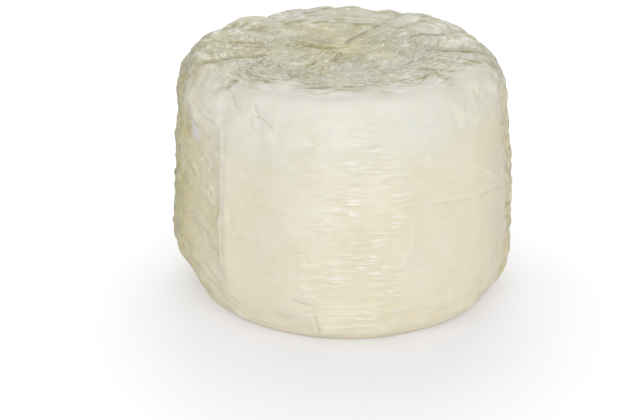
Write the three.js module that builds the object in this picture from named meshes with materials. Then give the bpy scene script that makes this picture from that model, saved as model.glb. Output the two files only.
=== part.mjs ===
// A whole wheel of fresh basket cheese: one solid, drained in a woven basket and turned out upside down.
// Millimetres, +Z up. The origin is under the middle of the wheel, on the flat it stands on; -Y is the front.
// Directions are in degrees from +X, anticlockwise from above.
import * as THREE from "three";
import { mergeVertices } from "three/addons/utils/BufferGeometryUtils.js";

const { degToRad, euclideanModulo, lerp, radToDeg, smoothstep } = THREE.MathUtils;

// Sizes of the turned form that the basket gives.
const HEIGHT = 109;
const TOP_FLAT_DIAMETER = 121; // level part of the top
const SHOULDER_DIAMETER = 144.8; // where the rounded shoulder runs into the side
const SHOULDER_RISE = 24;
const BELLY_DIAMETER = 150.6; // widest part, in the lower half
const FOOT_DIAMETER = 150; // where the side runs into the tapered foot
const FOOT_RISE = 26;
const FOOT_FLAT_DIAMETER = 127; // flat that the wheel stands on
const FOOT_PULL = new THREE.Vector2(73, 6); // radius and height that the foot's curve is drawn towards

// Marks of the basket's upright stakes: they part the side into panels.
const PANELS = 12;
const PANEL_ANGLE = 360 / PANELS;
const STAKE_DIRECTION = -101.8; // the stake at the front
// How sharply each stake's corner shows, anticlockwise from the front one: 0 leaves the side round.
const STAKE_SHARPNESS = [0.3, 0.25, 0.1, 0.5, 0.4, 0.6, 0.5, 0.4, 0.7, 0.5, 0.5, 1.0];

// Marks of the level weave that runs in front of one stake and behind the next.
const RIDGE_PITCH = 5.1;
const RIDGE_DEPTH = 0.6; // from crest to furrow
const RIDGE_FADE_FROM = 55; // above this height the weave wears away
const RIDGE_FADE_TO = 98;

// Furrows between the puffed lobes of the top: direction and depth.
const FURROWS = [
  [3, 1.3], [28, 1.2], [48, 0.8], [63, 1.2], [92, 1.2], [122, 2], [146, 0.8], [172, 1], [197, 1.2], [224, 0.5],
  [249, 0.3], [272, 0.2], [295, 0.3], [319, 0.7], [341, 1.1],
];
const FURROW_WIDTH = 5;
const FURROW_START_RADIUS = 26; // furrows start this far from the middle of the top
const FURROW_FULL_RADIUS = 50;

// How far the top's rim lies below the level top: direction and drop.
const RIM_DROPS = [
  [-25, 0], [0, 2.2], [10, 2.4], [22, 1.4], [38, 1.3], [49, -0.3], [59, 0], [68, 1.3], [77, 2.1], [86, 0.4],
  [94, 0.4], [104, 0.9], [113, 1.3], [122, 1.7], [133, 1.3], [144, 1.3], [160, 1], [172, -1.2], [185, 0],
];
const DROP_START_RADIUS = 35;

// The curd's own unevenness.
const LEAN = 1.8; // how far the top stands to -X of the foot
const LUMP = 0.6; // greatest slow swell or hollow of the side
const TOP_SWELL = 0.6; // greatest slow swell or hollow of the top
const BULGES = [
  { direction: 185, height: 28, swell: 2.6, width: 34, tall: 13 }, // sagged low on the left
  { direction: 196, height: 7, swell: -2.4, width: 20, tall: 9 }, // foot cut in under it
  { direction: 214, height: 4, swell: 0.7, width: 10, tall: 7 }, // fold beside the cut
  { direction: 0, height: 45, swell: -0.8, width: 34, tall: 24 }, // right side pressed in
  { direction: 8, height: 92, swell: -0.5, width: 34, tall: 8 }, // right shoulder pressed in
  { direction: -16, height: 12, swell: 1.6, width: 20, tall: 13 }, // foot spread on the right
  { direction: -46, height: 5, swell: 1.5, width: 20, tall: 12 }, // foot spread at the front right
  { direction: -80, height: 2, swell: 0.6, width: 12, tall: 6 }, // foot spread beside the front stake
  { direction: -113, height: 8, swell: -1, width: 14, tall: 9 }, // hollow on the other side of it
];

// Faces: steps round the wheel, and rows along each stretch of the profile.
const STEPS_AROUND = 72;
const ROWS = { footFlat: 3, foot: 16, side: 34, shoulder: 9, top: 11 };

const CREAM = new THREE.Color(0xe6e0cb);

// Half of the wheel's section, from the middle of the foot to the middle of the top.
function wheelProfile() {
  const topFlat = TOP_FLAT_DIAMETER / 2;
  const shoulder = SHOULDER_DIAMETER / 2;
  const shoulderStart = HEIGHT - SHOULDER_RISE;
  const shoulderReach = shoulder - topFlat;
  const footEdge = new THREE.Vector2(FOOT_FLAT_DIAMETER / 2, 0);
  const footTop = new THREE.Vector2(FOOT_DIAMETER / 2, FOOT_RISE);
  const sideTop = new THREE.Vector2(shoulder, shoulderStart);
  const belly = new THREE.Vector2(BELLY_DIAMETER - (footTop.x + shoulder) / 2, (FOOT_RISE + shoulderStart) / 2);
  const stretches = {
    footFlat: new THREE.LineCurve(new THREE.Vector2(0, 0), footEdge),
    foot: new THREE.QuadraticBezierCurve(footEdge, FOOT_PULL, footTop),
    side: new THREE.QuadraticBezierCurve(footTop, belly, sideTop),
    shoulder: new THREE.EllipseCurve(topFlat, shoulderStart, shoulderReach, SHOULDER_RISE, 0, Math.PI / 2),
    top: new THREE.LineCurve(new THREE.Vector2(topFlat, HEIGHT), new THREE.Vector2(0, HEIGHT)),
  };
  const rows = Object.entries(stretches).flatMap(([name, curve]) => {
    return curve.getSpacedPoints(ROWS[name]).slice(1);
  });
  return [new THREE.Vector2(0, 0), ...rows.slice(0, -1), new THREE.Vector2(0, HEIGHT)];
}

// A smooth bump: 1 in its middle, falling away over its width.
function bell(away, width) {
  return Math.exp(-((away / width) ** 2));
}

// Signed turn in degrees from one direction to another, the short way round.
function turnFrom(start, direction) {
  return euclideanModulo(direction - start + 180, 360) - 180;
}

// Length round the wheel of a turn in degrees.
function arc(turn, radius) {
  return degToRad(turn) * radius;
}

// Place within a panel: its number and the share of the way from one stake to the next.
function panelAt(direction) {
  const turned = euclideanModulo(direction - STAKE_DIRECTION, 360) / PANEL_ANGLE;
  const number = Math.floor(turned) % PANELS;
  return { number, across: turned - Math.floor(turned) };
}

// Share of the radius by which a panel lies inside the round: a chord's, scaled by the sharpness of its stakes.
function panelInset(direction) {
  const { number, across } = panelAt(direction);
  const near = smoothstep(across, 0.15, 0.85);
  const sharpness = lerp(STAKE_SHARPNESS[number], STAKE_SHARPNESS[(number + 1) % PANELS], near);
  const fromMiddle = degToRad((across - 0.5) * PANEL_ANGLE);
  return sharpness * (1 - Math.cos(degToRad(PANEL_ANGLE / 2)) / Math.cos(fromMiddle));
}

// Level ridges, half a pitch higher in every other panel, dying out at the stakes and towards the top.
function ridgeHeight(direction, z) {
  const { number, across } = panelAt(direction);
  const phase = (number % 2) * Math.PI;
  const wear = 1 - smoothstep(z, RIDGE_FADE_FROM, RIDGE_FADE_TO);
  const wave = Math.cos((2 * Math.PI * z) / RIDGE_PITCH + phase);
  return 0.5 * RIDGE_DEPTH * wear * Math.sin(Math.PI * across) * wave;
}

// Slow swells of the side, as a short sum of waves round and up the wheel.
function sideLump(direction, z) {
  const angle = degToRad(direction);
  const up = (Math.PI * z) / HEIGHT;
  const slow = Math.sin(2 * angle + 0.6);
  const middling = 0.7 * Math.sin(3 * angle + 2 * up);
  const quick = 0.6 * Math.sin(5 * angle - up);
  return (LUMP * (slow + middling + quick)) / 2.3;
}

// Local swells and hollows of the side, each a smooth bump of its own width and height.
function bulge(direction, z) {
  return BULGES.reduce((sum, spot) => {
    const across = arc(turnFrom(spot.direction, direction), BELLY_DIAMETER / 2);
    return sum + spot.swell * bell(across, spot.width) * bell(z - spot.height, spot.tall);
  }, 0);
}

// Slow swells of the top.
function topSwell(x, y) {
  return 0.5 * TOP_SWELL * (Math.sin(0.062 * x + 0.09 * y) + Math.sin(0.105 * y - 0.05 * x + 1.2));
}

// Depth of the furrows between the lobes: nothing at the middle, full towards the rim.
function furrowDepth(direction, radius) {
  const depths = FURROWS.map(([middle, depth]) => {
    return depth * bell(arc(turnFrom(middle, direction), radius), FURROW_WIDTH);
  });
  return Math.max(...depths) * smoothstep(radius, FURROW_START_RADIUS, FURROW_FULL_RADIUS);
}

// Drop of the rim, straight from one listed direction to the next and nothing beyond the list.
function rimDrop(direction, radius) {
  const turn = turnFrom(90, direction) + 90;
  const next = RIM_DROPS.findIndex(([listed]) => listed > turn);
  if (next < 1) {
    return 0;
  }
  const [start, startDrop] = RIM_DROPS[next - 1];
  const [end, endDrop] = RIM_DROPS[next];
  const drop = lerp(startDrop, endDrop, (turn - start) / (end - start));
  return drop * smoothstep(radius, DROP_START_RADIUS, TOP_FLAT_DIAMETER / 2);
}

// Presses the basket's marks into one point of the turned form.
function press(point) {
  const { x, y, z } = point;
  const radius = Math.hypot(x, y);
  const angle = Math.atan2(y, x);
  const direction = radToDeg(angle);
  const onSide = smoothstep(radius, FOOT_FLAT_DIAMETER / 2 - 3, FOOT_FLAT_DIAMETER / 2 + 3);
  const onTop = smoothstep(z, HEIGHT - SHOULDER_RISE, HEIGHT);
  const below = onSide * (1 - onTop);
  const panelled = below * (0.2 + 0.8 * smoothstep(z, 6, 34)) * (1 - 0.5 * smoothstep(z, 78, 96));
  const furrow = onTop * furrowDepth(direction, radius);
  const pressed =
    radius * (1 - panelled * panelInset(direction)) +
    below * (ridgeHeight(direction, z) + sideLump(direction, z) + bulge(direction, z)) -
    0.5 * furrow * smoothstep(radius, 0, TOP_FLAT_DIAMETER / 2);
  const lifted = z + onTop * (topSwell(x, y) - rimDrop(direction, radius)) - furrow;
  const shift = LEAN * (0.5 - z / HEIGHT);
  return point.set(pressed * Math.cos(angle) + shift, pressed * Math.sin(angle), lifted);
}

// Stands the solid on z = 0 with the middle of its box on the axis.
function standOnOrigin(geometry) {
  geometry.computeBoundingBox();
  const { min, max } = geometry.boundingBox;
  return geometry.translate(-(min.x + max.x) / 2, -(min.y + max.y) / 2, -min.z);
}

function cheeseGeometry() {
  const turned = new THREE.LatheGeometry(wheelProfile(), STEPS_AROUND);
  turned.rotateX(Math.PI / 2);
  turned.deleteAttribute("normal");
  turned.deleteAttribute("uv");
  const skin = mergeVertices(turned);
  const places = skin.getAttribute("position");
  const point = new THREE.Vector3();
  for (let i = 0; i < places.count; i++) {
    press(point.fromBufferAttribute(places, i));
    places.setXYZ(i, point.x, point.y, point.z);
  }
  skin.computeVertexNormals();
  return standOnOrigin(skin);
}

const rind = new THREE.MeshStandardMaterial({ color: CREAM, roughness: 0.45, metalness: 0 });
const cheese = new THREE.Mesh(cheeseGeometry(), rind);
cheese.name = "cheese";

const wheel = new THREE.Group();
wheel.add(cheese);

export default wheel;
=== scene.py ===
"""A whole wheel of fresh basket cheese, drained in a woven basket and turned out on a pale studio floor.

Metres, +Z up, -Y the front. The wheel is one closed skin on a grid of directions and profile rows.
Directions are counted from +X, anticlockwise from above, so the front is at -90 degrees.
"""

import itertools
import math

import bpy
import numpy as np
from bpy.props import FloatProperty, FloatVectorProperty, IntProperty, PointerProperty
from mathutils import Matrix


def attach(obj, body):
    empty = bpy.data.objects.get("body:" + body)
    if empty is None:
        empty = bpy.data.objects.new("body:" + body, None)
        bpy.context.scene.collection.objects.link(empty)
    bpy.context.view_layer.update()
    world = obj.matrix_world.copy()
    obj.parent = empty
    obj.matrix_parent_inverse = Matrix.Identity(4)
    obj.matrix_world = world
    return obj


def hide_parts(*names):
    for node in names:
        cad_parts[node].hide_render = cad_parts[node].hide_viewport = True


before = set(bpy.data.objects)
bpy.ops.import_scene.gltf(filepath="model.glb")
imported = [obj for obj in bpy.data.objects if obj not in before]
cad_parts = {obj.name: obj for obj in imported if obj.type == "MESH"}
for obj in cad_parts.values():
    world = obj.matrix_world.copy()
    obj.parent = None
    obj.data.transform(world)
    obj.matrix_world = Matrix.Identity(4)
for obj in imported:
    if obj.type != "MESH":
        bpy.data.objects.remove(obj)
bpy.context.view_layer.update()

bl_info = {
    "name": "Basket Cheese",
    "version": (1, 0, 0),
    "blender": (4, 5, 0),
    "location": "View3D > Sidebar > Basket Cheese",
    "description": "Builds a wheel of fresh basket cheese and a pale studio around it",
    "category": "Add Mesh",
}

MM = 0.001
VECTOR_NODE = "ShaderNodeVectorMath"

# Sizes of the turned form that the basket gives.
HEIGHT = 109 * MM
TOP_FLAT_RADIUS = 60.5 * MM
SHOULDER_RADIUS = 72.4 * MM
SHOULDER_RISE = 24 * MM
BELLY_RADIUS = 75.3 * MM
FOOT_RADIUS = 75.0 * MM
FOOT_RISE = 26 * MM
FOOT_FLAT_RADIUS = 63.5 * MM
FOOT_PULL = (73 * MM, 6 * MM)

# Steps of the grid: columns round the wheel, drawn closer by a share at the front, and rows of each stretch
# of the profile. Curves are worked out in short steps first.
COLUMNS = 396
FRONT_SHARE = 0.3
ROWS = {"under": 6, "foot": 26, "side": 78, "shoulder": 42, "top": 98}
CURVE_STEPS = 200

# Marks of the basket's upright stakes, which part the side into panels. They are counted to the right, from
# the one just left of the front.
PANELS = 12
PANEL_ANGLE = 2 * math.pi / PANELS
STAKE_ANGLE = math.radians(-101.8)
STAKE_SHARPNESS = (0.3, 0.25, 0.1, 0.5, 0.4, 0.6, 0.5, 0.4, 0.7, 0.5, 0.5, 1.0)
WEAVE_STRENGTH = (0.5, 0.15, 0.12, 0.7, 0.5, 0.9, 0.4, 0.8, 0.5, 1.3, 0.45, 0.2)

# Furrows that part the top's puffed lobes: direction in degrees, depth in mm, and how strongly bars are
# woven across the lobe that follows.
FURROWS = (
    (3, 1.4, 0.6), (28, 1.4, 0.5), (48, 1.1, 0.4), (63, 1.3, 0.3), (92, 1.3, 0.3), (122, 1.7, 0.3),
    (146, 1.2, 0.35), (172, 1.6, 0.35), (197, 0.9, 0.35), (224, 0.6, 0.3), (249, 0.3, 0.3), (272, 0.2, 0.3),
    (295, 0.3, 0.4), (319, 0.9, 0.6), (341, 1.3, 0.7),
)
FURROW_WIDTH = 4 * MM
FURROW_START = 18 * MM
FURROW_FULL = 46 * MM

# The curd's own unevenness.
LEAN = 1.8 * MM
LUMP = 0.6 * MM
TOP_SWELL = 0.6 * MM
# Direction in degrees, height, swell, width round the side and height of each local bulge, in millimetres.
BULGES = (
    (185, 28, 2.6, 34, 13),
    (196, 7, -2.4, 20, 9),
    (214, 4, 0.7, 10, 7),
    (0, 45, -0.8, 34, 24),
    (8, 92, -0.5, 34, 8),
    (-16, 12, 1.6, 20, 13),
    (-46, 5, 1.5, 20, 12),
    (-80, 2, 0.6, 12, 6),
    (-113, 8, -1.0, 14, 9),
)

# How far the top's rim lies below the level top: direction in degrees and drop in millimetres.
RIM_DROPS = (
    (-25, 0), (0, 2.2), (10, 2.4), (22, 1.4), (38, 1.3), (49, -0.3), (59, 0), (68, 1.3), (77, 2.1),
    (86, 0.4), (94, 0.4), (104, 0.9), (113, 1.3), (122, 1.7), (133, 1.3), (144, 1.3), (160, 1),
    (172, -1.2), (185, 0),
)
DROP_START = 35 * MM

# Metres for one degree round the side and for one millimetre up it.
SIDE_UNIT = np.array([math.radians(1) * BELLY_RADIUS, MM])

# Creases of the side: depth and width in mm, then points as degrees right of the front and height in mm. A
# negative depth raises the line.
SIDE_CREASES = (
    (0.55, 1.0, ((-32, 104), (-30, 100.5), (-28, 99), (-25, 97))),
    (0.55, 1.2, ((-47.5, 108.2), (-44.5, 106.2), (-41.5, 103.5), (-38, 101))),
    (0.55, 1.4, ((-48.2, 107.7), (-50, 106.9), (-52.8, 105.5))),
    (1.30, 1.0, ((-48.2, 107.9), (-47.5, 108.3))),
    (-0.60, 1.5, ((-46, 106.7), (-47.2, 105.4))),
    (0.35, 1.0, ((-30, 100.5), (-33.5, 99.5), (-32.5, 95))),
    (0.25, 1.6, ((54, 106.8), (53, 103.5), (53, 98.2))),
    (-0.20, 1.2, ((45, 75.5), (53, 70), (61.5, 62.5), (68.5, 53.5))),
    (-0.15, 1.6, ((18, 66.5), (32, 64), (44.5, 63), (63, 59.5), (68.5, 56.5))),
    (0.35, 1.0, ((18, 65), (32, 62.5), (44.5, 61), (63, 57.5), (68.5, 54.5))),
    (-0.18, 0.9, ((21.4, 55), (21, 45.5), (18.5, 42.4), (18.3, 38), (14.7, 38.5))),
    (-0.20, 1.2, ((10, 12), (10.4, 4.9))),
    (-0.45, 1.2, ((-10, 20.5), (9, 21))),
    (-0.45, 1.2, ((-9.5, 16.8), (8, 17.5))),
    (-0.45, 1.2, ((-9.5, 13.2), (9, 14))),
    (-0.45, 1.2, ((-9, 9.6), (9, 10.4))),
    (-0.45, 1.2, ((-8, 6), (8, 6.8))),
    (-0.25, 1.2, ((-14, 40), (-9, 40.2))),
    (-0.25, 1.2, ((-14.5, 34.5), (-8, 34.8))),
    (-0.25, 1.2, ((-14, 29.5), (-9, 29.7))),
    (0.60, 1.8, ((-53, 23.6), (-50.4, 21), (-46.5, 18), (-42, 15), (-37.7, 12), (-34.5, 9))),
    (0.45, 1.4, ((-60, 22), (-54, 18.5), (-49, 15), (-44, 12), (-38, 8.5))),
    (-0.45, 1.2, ((-33.8, 8.3), (-28.4, 7.1), (-20.9, 7.4))),
    (0.30, 1.4, ((-48, 27), (-43, 23.7), (-40, 23))),
    (0.40, 1.6, ((-33, 8.7), (-23, 12.4), (-17, 12), (-13, 6.8))),
    (0.55, 1.4, ((-17, 21.5), (-11, 21), (-10.5, 15), (-9.5, 6.4))),
    (0.25, 1.4, ((13, 20.7), (18, 22), (24, 20), (31, 12))),
    (-0.25, 1.6, ((38, 16), (42, 12), (43, 9))),
    (0.30, 1.6, ((34, 11), (44, 13), (52, 18))),
    (-0.10, 1.2, ((-18.5, 63.5), (0.4, 65.2))),
    (-0.10, 1.0, ((-13, 75), (-13.2, 50), (-13, 25))),
    (-0.50, 1.0, (
        (-44.4, 90), (-44.5, 82), (-43.9, 74), (-44, 65), (-44.3, 58), (-44.6, 49), (-44.4, 31.5),
    )),
    (-0.35, 1.8, ((-43.2, 59), (-41.4, 56.3), (-41.8, 52.5), (-44, 50))),
    (0.40, 1.2, ((-40.5, 58), (-39.4, 55), (-39.8, 52))),
    (-0.35, 1.3, ((-51.3, 71.8), (-51.1, 76.2), (-47.7, 78.9), (-44.2, 78.9))),
    (0.40, 1.6, ((-66, 90), (-58, 86), (-48, 81))),
    (0.40, 1.6, ((-68, 83), (-60, 78), (-53, 73), (-47, 70))),
    (0.35, 1.5, ((-74, 74), (-66, 70), (-58, 64), (-50, 61))),
    (0.35, 1.5, ((-80, 62), (-70, 60), (-60, 57), (-46, 55))),
    (0.30, 1.5, ((-76, 46), (-64, 44), (-52, 41))),
    (0.30, 1.5, ((-82, 36), (-72, 32), (-60, 31))),
    (-0.30, 1.2, ((-50, 64), (-48, 60.5), (-49, 56.5), (-51.5, 60), (-50, 64))),
    (-0.25, 1.0, ((-56, 73), (-53, 76.5), (-50, 75), (-51, 71))),
    (-0.25, 1.0, ((-60, 70), (-57.5, 66), (-56, 62))),
    (0.35, 1.2, ((-62, 96), (-56, 93), (-50, 92))),
    (0.35, 1.2, ((-58, 40), (-52, 36), (-47, 35))),
    (-0.25, 1.0, ((68.4, 95), (68.4, 78), (66.2, 57), (70.6, 28))),
)

# How far noise bends a crease, how far its drawn line fades, and the farthest way to it that counts, in mm.
CREASE_BEND = 0.7
LINE_FADE = 2
LINE_REACH = 4

# Creases of the top: depth and width in millimetres, then plan points in millimetres.
TOP_CREASES = (
    (0.60, 0.8, ((2, 4), (8, 16.5), (17, 35))),
    (0.40, 2.0, ((1, -3), (-4, -14.5), (-7.5, -26))),
    (-0.60, 2.6, ((-1, -1), (-9.6, 2.5), (-18, 8.5))),
    (0.35, 1.0, ((-2, -3), (-10, -1.5), (-19, 4))),
    (0.35, 1.0, ((-16.6, 5.5), (-28, 6.8), (-39, 9.6), (-55, 11))),
    (0.40, 1.4, ((-32.7, -10.5), (-39.4, -13.1), (-47.2, -12.5), (-52, -17), (-61, -20))),
    (-0.35, 2.2, ((-40, -17), (-49, -19), (-56, -24))),
    (0.40, 1.0, ((30, 15), (37, 20.5), (46, 23.5), (54, 27), (61, 30))),
    (0.40, 1.0, ((34, -3.5), (45, 1.4), (53.5, 4), (62, 2))),
    (0.40, 1.0, ((42, -8), (52, -14), (59, -18))),
    (0.40, 1.0, ((33, -26), (41, -31), (50, -30))),
    (0.40, 1.0, ((26, 30), (35, 38), (43, 45))),
    (0.30, 1.0, ((-22.2, -50.1), (-17.7, -51.3), (-12.8, -52.5), (-4, -52))),
    (0.30, 1.0, ((-18.4, -57.1), (-10, -60.4), (-2.8, -55.3))),
    (0.30, 1.0, ((4, -60), (10.1, -58.2), (16.5, -57.4), (20, -58))),
    (0.35, 1.0, ((35, -29.1), (40.7, -37), (47.8, -40.3), (52.3, -36.9))),
    (-0.50, 1.0, ((-13, -26), (-1, -6))),
    (-0.45, 0.9, ((-18, -24), (-6, -5))),
    (-0.45, 0.9, ((-8, -28), (2, -10))),
    (0.30, 0.8, ((-15.5, -25), (-3.5, -5.5))),
)

# Outer limit of the woven top: direction in degrees and reach over the skin from its middle in millimetres.
RIM = (
    (3, 77), (28, 76), (60, 73), (92, 71), (122, 73), (150, 76), (172, 77), (190, 74), (196, 67),
    (200, 62), (204, 61), (210, 61), (217, 63), (224, 64), (236, 59), (244, 53), (250, 57), (261, 60),
    (268, 56), (274, 59), (280, 59), (286, 61), (291, 59), (306, 59), (314, 60), (322, 58), (330, 57),
    (335, 58), (339, 62), (343, 68), (346, 75),
)

# How far that limit wavers and frays, and how far inside and outside it the weave fades.
RIM_WAVER = 3 * MM
RIM_RAGGEDNESS = 6 * MM
RIM_INSIDE = 8 * MM
RIM_OUTSIDE = 4 * MM

# Turns from the front in degrees over which the front ends, and over which the back begins.
FRONT_END = (30, 66)
BACK_START = (86, 130)

# Palest spots of the top, partly paler curd and partly a painted sheen of the pale backdrop: plan place and
# width in millimetres.
PALE_TOP_SPOTS = (
    (-26, 48, 13), (-10, 49, 10), (12, 54, 8), (30, 44, 8), (-42, 22, 9), (6, -41, 9), (4, -22, 6),
    (26, -3, 6), (41, 28, 7), (48, 1, 8), (50, -8, 9), (36, 10, 7), (-28, -22, 15), (32, -21, 12),
    (33, -4, 11), (-30, 19, 12), (34, 18, 9),
)

# Whitest spots of the middle panel, where more painted highlights of its dashes show: degrees right of the
# front, then height, width and tallness in mm.
WHITE_SPOTS = ((7, 83, 18, 4), (5, 44, 12, 3.5), (6, 38, 18, 3.5), (-12, 59, 6, 4))

# Other spots and lines of colour, in plan millimetres. The gleam is a painted reflection of the sky on wet
# curd;
# its points are degrees right of the front and height in mm. The gleam spot is a painted reflection too,
# and its third number is its width.
OLIVE_MIDDLE = (-10, 5)
GROOVE = ((0, -6), (-7, -24))
STAIN = ((-0.5, -9), (-2.5, -13))
GLEAM = ((-63.5, 89.5), (-59, 83))
GLEAM_SPOT = (3, -25, 5)

# Share of the rind's red, green and blue that its creamier mottles keep.
CREAM_SHARE = (0.985, 0.965, 0.90)
# Roughness of the smoothest skin, where that of the roughest is 1.
SMOOTH_ROUGHNESS = 0.12

# Bars woven across the lobes of the top.
BAR_PITCH = 3.6 * MM
BAR_START = 26 * MM
BAR_FULL = 44 * MM
SLANT_PITCH = 2.3 * MM
BAR_HEIGHTS = 512
SLANT_COURSE = math.radians(57)
SLANT_MIDDLE = math.radians(228)
RAYS_MIDDLE = math.radians(95)
RAYS_A_RADIAN = 9

# Strands of the top: how many to a radian, the cell of the rim's ragged ends in strands and mm, and the
# size of the flakes that lie along the slant.
STRANDS_A_RADIAN = 9
RIM_STRAND_CELL = (1.4, 1.4, 2.4)
SLANT_FLAKE_LENGTH = 5 * MM
SLANT_FLAKE_WIDTH = 1.1 * MM

# Raised strokes of the top: how many, between which directions in degrees and radii in mm, heading, then
# shortest and longest length, width and height in mm. The heading round follows the rim, and out leaves the
# middle.
TOP_STROKES = (
    (70, -165, -15, 34, 58, "round", 4, 12, 0.9, 0.40),
    (40, -150, -30, 48, 63, "round", 14, 34, 0.9, 0.45),
    (50, 196, 264, 6, 46, 57, 5, 12, 0.9, 0.45),
    (50, -70, 50, 12, 42, 42, 3, 9, 0.9, 0.45),
    (14, 62, 140, 14, 42, "out", 6, 14, 1.2, 0.12),
    (70, 45, 175, 34, 70, "round", 6, 18, 1.4, 0.40),
    (25, 165, 215, 22, 50, 38, 4, 9, 0.7, 0.45),
)

# Raised strokes of the side: how many, between which degrees right of the front and heights in mm, rise in
# degrees, then shortest and longest length, width and height in mm.
SIDE_STROKES = (
    (70, -13, 19, 22, 100, 0, 4, 13, 0.7, 0.24),
    (80, -14, 20, 20, 102, 0, 2, 7, 0.7, 0.16),
    (22, -11, 14, 3, 26, 0, 10, 26, 0.8, 0.24),
    (60, -43, -12, 8, 98, -1, 4, 16, 0.8, 0.15),
    (60, 19, 70, 8, 100, 1, 6, 20, 0.8, 0.13),
    (26, -105, -46, 6, 104, -8, 6, 16, 1.7, 0.35),
    (60, 68, 110, 10, 106, 8, 4, 10, 1.2, 0.40),
    (210, 110, 255, 6, 104, 0, 5, 18, 0.7, 0.20),
)

# Heights of the fine relief.
FOOT_LUMP = 1.3 * MM
SHOULDER_LUMP = 1.2 * MM
DRIP = 0.4 * MM
COARSE_LUMP = 0.7 * MM
SMOOTH_LUMP = 0.22 * MM
UNDER_PIT = 0.5 * MM

# Lattice and strength of the noise, and how far after the rind's seed each noise and random draw starts.
LATTICE = 256
NOISE_GAIN = 1.6
SEEDS = {
    "furrows": 3, "rim": 5, "rim_strands": 6, "coarse_patches": 8, "dash_patches": 9, "panel_sides": 10,
    "grain": 11, "mid_grain": 12, "fine_grain": 13, "foot": 14, "shoulder": 15, "coarse": 16, "weave": 17,
    "creases": 18, "smooth": 19, "fine_shoulder": 20, "bars": 21, "bar_heights": 22, "fine_coarse": 23,
    "flakes": 24, "top_strokes": 25, "fine_edge": 26, "side_strokes": 27, "edge": 28, "fine_foot": 29,
    "wobble_across": 30, "wobble_up": 31, "drips": 32, "under": 41,
}

# Floor: its width, the middle of its painted shade, how far from there the shade starts to fade and ends,
# and the painted glow at both, which only the camera sees.
FLOOR_WIDTH = 6.0
SHADE_MIDDLE = (0.01, -0.045, 0)
SHADE_START = 0.045
SHADE_END = 0.195
NEAR_GLOW = 0.235
FAR_GLOW = 0.56

# Soft lights: width and height, place, and then pitch down and turn in degrees.
KEY_LIGHT = ((0.6, 0.6), (0.08, -1.14, 0.26), 9, 4)
BACK_LIGHT = ((0.9, 0.4), (0.1, 1.1, 0.70), 30, 175)

# Camera, at the photograph's angle.
SENSOR_WIDTH = 36
CAMERA_PLACE = (-9.6 * MM, -675 * MM, 338.2 * MM)
CAMERA_PITCH = math.radians(24.44)


def smooth(value, low, high):
    """Rises from 0 at low to 1 at high on a cubic ease."""
    share = np.clip((value - low) / (high - low), 0, 1)
    return share * share * (3 - 2 * share)


def bell(distance, width):
    """Gaussian bell: 1 at no distance, falling to 1/e at one width."""
    return np.exp(-((distance / width) ** 2))


def turn_from(angle, start):
    """Signed turn from a direction, from -pi to pi."""
    return np.mod(angle - start + math.pi, 2 * math.pi) - math.pi


def curd_noise(places, cell, seed):
    """Seeded gradient noise, from about -1 to 1.

    Random slopes stand on a cubic lattice of that cell; each place takes the slopes of its eight corners,
    each times the way from the corner, blended by a cubic ease. A cell of three numbers stretches it.
    """
    draw = np.random.default_rng(seed)
    order = draw.permutation(LATTICE)
    slopes = draw.normal(size=(LATTICE, 3))
    slopes /= np.linalg.norm(slopes, axis=1, keepdims=True)
    scaled = places / np.asarray(cell)
    corner = np.floor(scaled).astype(int)
    share = scaled - corner
    ease = share * share * (3 - 2 * share)
    total = np.zeros(places.shape[:-1])
    for step in itertools.product((0, 1), repeat=3):
        x, y, z = np.moveaxis((corner + step) % LATTICE, -1, 0)
        picked = slopes[order[(order[(order[x] + y) % LATTICE] + z) % LATTICE]]
        weight = np.prod(np.where(step, ease, 1 - ease), axis=-1)
        total += weight * np.sum(picked * (share - step), axis=-1)
    return NOISE_GAIN * total


def evenly(curve, steps):
    """Points at even steps of length along a curve, without its first point."""
    lengths = np.linalg.norm(np.diff(curve, axis=0), axis=1)
    along = np.concatenate([[0], np.cumsum(lengths)])
    wanted = np.linspace(0, along[-1], steps + 1)[1:]
    return np.stack([np.interp(wanted, along, curve[:, axis]) for axis in (0, 1)], axis=1)


def bezier(start, pull, end):
    """Points of a quadratic Bezier curve."""
    share = np.linspace(0, 1, CURVE_STEPS)
    pulled = np.outer(2 * share * (1 - share), pull)
    return np.outer((1 - share) ** 2, start) + pulled + np.outer(share**2, end)


def wheel_profile():
    """Rows of radius and height of the turned form, from the foot's middle to the top's, both left out.

    A level foot, quadratic Bezier curves for the foot's edge and the bellied side, a quarter ellipse for
    the shoulder, and a level top.
    """
    quarter = np.linspace(0, math.pi / 2, CURVE_STEPS)
    shoulder_start = HEIGHT - SHOULDER_RISE
    shoulder = np.stack([
        TOP_FLAT_RADIUS + (SHOULDER_RADIUS - TOP_FLAT_RADIUS) * np.cos(quarter),
        shoulder_start + SHOULDER_RISE * np.sin(quarter),
    ], axis=1)
    foot_top = (FOOT_RADIUS, FOOT_RISE)
    belly = (2 * BELLY_RADIUS - (FOOT_RADIUS + SHOULDER_RADIUS) / 2, (FOOT_RISE + shoulder_start) / 2)
    stretches = {
        "under": np.array([[0, 0], [FOOT_FLAT_RADIUS, 0]]),
        "foot": bezier((FOOT_FLAT_RADIUS, 0), FOOT_PULL, foot_top),
        "side": bezier(foot_top, belly, shoulder[0]),
        "shoulder": shoulder,
        "top": np.array([[TOP_FLAT_RADIUS, HEIGHT], [0, HEIGHT]]),
    }
    rows = [evenly(curve, ROWS[name]) for name, curve in stretches.items()]
    return np.concatenate(rows)[:-1]


def profile_normals(rows):
    """Outward directions across the profile: its tangent turned by a right angle."""
    tangent = np.gradient(rows, axis=0)
    normal = np.stack([tangent[:, 1], -tangent[:, 0]], axis=1)
    return normal / np.linalg.norm(normal, axis=1, keepdims=True)


def reach_from_middle(rows):
    """Length over the skin from the middle of the top to each row."""
    steps = np.linalg.norm(np.diff(rows, axis=0), axis=1)
    return np.concatenate([np.cumsum(steps[::-1])[::-1], [0]]) + rows[-1, 0]


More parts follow.
